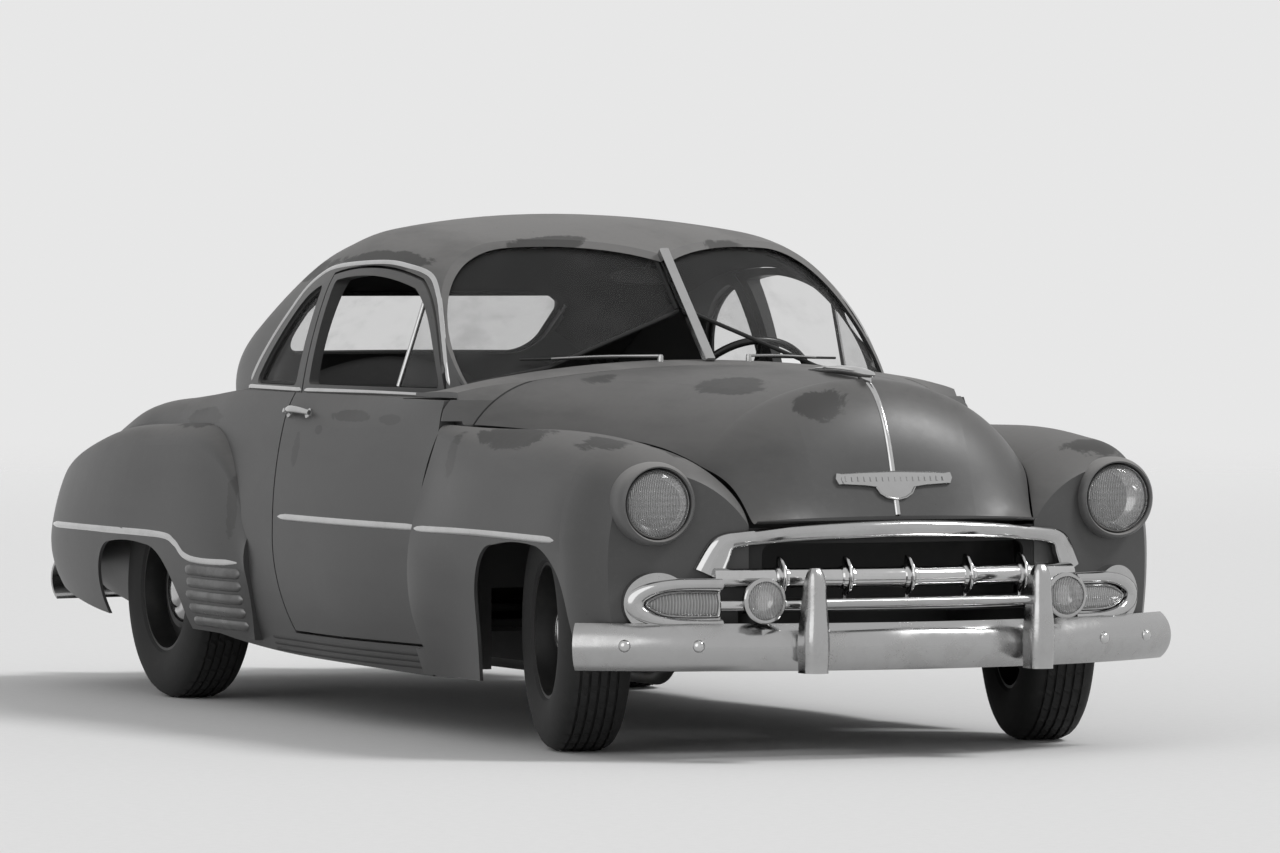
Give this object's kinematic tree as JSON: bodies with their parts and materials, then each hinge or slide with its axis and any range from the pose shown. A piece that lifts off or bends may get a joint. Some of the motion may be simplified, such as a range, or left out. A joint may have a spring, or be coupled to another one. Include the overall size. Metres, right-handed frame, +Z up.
{
  "type": "two-door coupe car",
  "caption": "Lowered early-fifties two-door coupe in weathered satin paint, with rounded fenders, a toothed grille, dog-dish caps, opening doors, hood and trunk, and steered front wheels.",
  "frame": {"origin": "bottom centre of the overall box: on the ground, on the centre line, midway between the bumper guard tips", "axes": "+X to the front of the car, +Y to its left, +Z up"},
  "size_m": [5.0231, 1.878, 1.4999],
  "materials": {
    "body_paint": "satin, weathered",
    "tyre_rubber": "matte",
    "wheel_paint": "satin",
    "chrome": "worn polish",
    "chassis_paint": "matte black",
    "engine_iron": "rough",
    "radiator_black": "matte",
    "tank_steel": "dull",
    "exhaust_steel": "dull",
    "window_glass": "clear",
    "tail_lens": "gloss",
    "seat_leather": "worn",
    "dash_paint": "satin",
    "steering_plastic": "gloss"
  },
  "bodies": {
    "body": {"cab_upper": "body_paint", "cab_lower": "body_paint", "front_fender_left": "body_paint", "front_fender_right": "body_paint", "rear_fender_left": "body_paint", "rear_fender_right": "body_paint", "headlamps": "body_paint", "front_suspension": "chassis_paint", "frame_rails": "chassis_paint", "crossmembers": "chassis_paint", "rear_axle": "chassis_paint", "leaf_springs": "chassis_paint", "floor_pan": "chassis_paint", "grille_panel": "chassis_paint", "engine": "engine_iron", "radiator": "radiator_black", "fuel_tank": "tank_steel", "exhaust": "exhaust_steel", "quarter_glass": "window_glass", "rear_window": "window_glass", "windshield": "window_glass", "centre_post": "chrome", "grille_bars": "chrome", "parking_lamps": "chrome", "front_bumper": "chrome", "rear_bumper": "chrome", "fog_lamps": "chrome", "tail_lamps": "tail_lens", "front_seat": "seat_leather", "rear_seat": "seat_leather", "dashboard": "dash_paint", "steering_column": "dash_paint"},
    "hood": {"hood": "body_paint", "hood_ornament": "chrome"},
    "trunk_lid": {"trunk_lid": "body_paint"},
    "door_left": {"door_left": "body_paint", "vent_window_left": "window_glass"},
    "door_right": {"door_right": "body_paint", "vent_window_right": "window_glass"},
    "knuckle_left": {"knuckle_left": "chassis_paint"},
    "knuckle_right": {"knuckle_right": "chassis_paint"},
    "tie_rod": {"tie_rod": "chassis_paint"},
    "steering_wheel": {"steering_wheel": "steering_plastic"},
    "road_front_left": {"tyre_front_left": "tyre_rubber", "wheel_front_left": "wheel_paint", "hubcap_front_left": "chrome"},
    "road_front_right": {"tyre_front_right": "tyre_rubber", "wheel_front_right": "wheel_paint", "hubcap_front_right": "chrome"},
    "road_rear_left": {"tyre_rear_left": "tyre_rubber", "wheel_rear_left": "wheel_paint", "hubcap_rear_left": "chrome"},
    "road_rear_right": {"tyre_rear_right": "tyre_rubber", "wheel_rear_right": "wheel_paint", "hubcap_rear_right": "chrome"}
  },
  "joints": [
    {"name": "steer_left", "type": "hinge", "parent": "body", "child": "knuckle_left", "pos_m": [1.7115, 0.62, 0.336], "axis": [0, 0, 1], "range_deg": [-8, 32]},
    {"name": "steer_right", "type": "hinge", "parent": "body", "child": "knuckle_right", "pos_m": [1.7115, -0.62, 0.336], "axis": [0, 0, 1], "range_deg": [-8, 32]},
    {"name": "tie_rod_shift", "type": "slide", "parent": "body", "child": "tie_rod", "axis": [0, 1, 0], "range_m": [-0.075, 0.02]},
    {"name": "steering_wheel_turn", "type": "hinge", "parent": "body", "child": "steering_wheel", "pos_m": [0.48, 0.37, 0.955], "axis": [-0.829, 0, 0.5592], "range_deg": [-96, 384]},
    {"name": "roll_front_left", "type": "hinge", "parent": "knuckle_left", "child": "road_front_left", "pos_m": [1.73021, 0.70803, 0.336], "axis": [0.2079, 0.9781, 0], "continuous": true},
    {"name": "roll_front_right", "type": "hinge", "parent": "knuckle_right", "child": "road_front_right", "pos_m": [1.69279, -0.70803, 0.336], "axis": [0.2079, 0.9781, 0], "continuous": true},
    {"name": "roll_rear_left", "type": "hinge", "parent": "body", "child": "road_rear_left", "pos_m": [-1.2095, 0.746, 0.336], "axis": [0, 1, 0], "continuous": true},
    {"name": "roll_rear_right", "type": "hinge", "parent": "body", "child": "road_rear_right", "pos_m": [-1.2095, -0.746, 0.336], "axis": [0, 1, 0], "continuous": true},
    {"name": "door_left_swing", "type": "hinge", "parent": "body", "child": "door_left", "pos_m": [1.034, 0.868, 0.33], "axis": [0, 0, -1], "range_deg": [0, 60]},
    {"name": "door_right_swing", "type": "hinge", "parent": "body", "child": "door_right", "pos_m": [1.034, -0.868, 0.33], "axis": [0, 0, 1], "range_deg": [0, 60]},
    {"name": "hood_lift", "type": "hinge", "parent": "body", "child": "hood", "pos_m": [1.109, 0, 1.06], "axis": [0, -1, 0], "range_deg": [0, 50]},
    {"name": "trunk_lid_lift", "type": "hinge", "parent": "body", "child": "trunk_lid", "pos_m": [-1.56, 0, 0.958], "axis": [0, 1, 0], "range_deg": [0, 60]}
  ],
  "couplings": [
    {"joint": "steer_right", "follows": "steer_left", "ratio": 1},
    {"joint": "tie_rod_shift", "follows": "steer_left", "m_per_rad": -0.127},
    {"joint": "steering_wheel_turn", "follows": "steer_left", "ratio": 12}
  ]
}
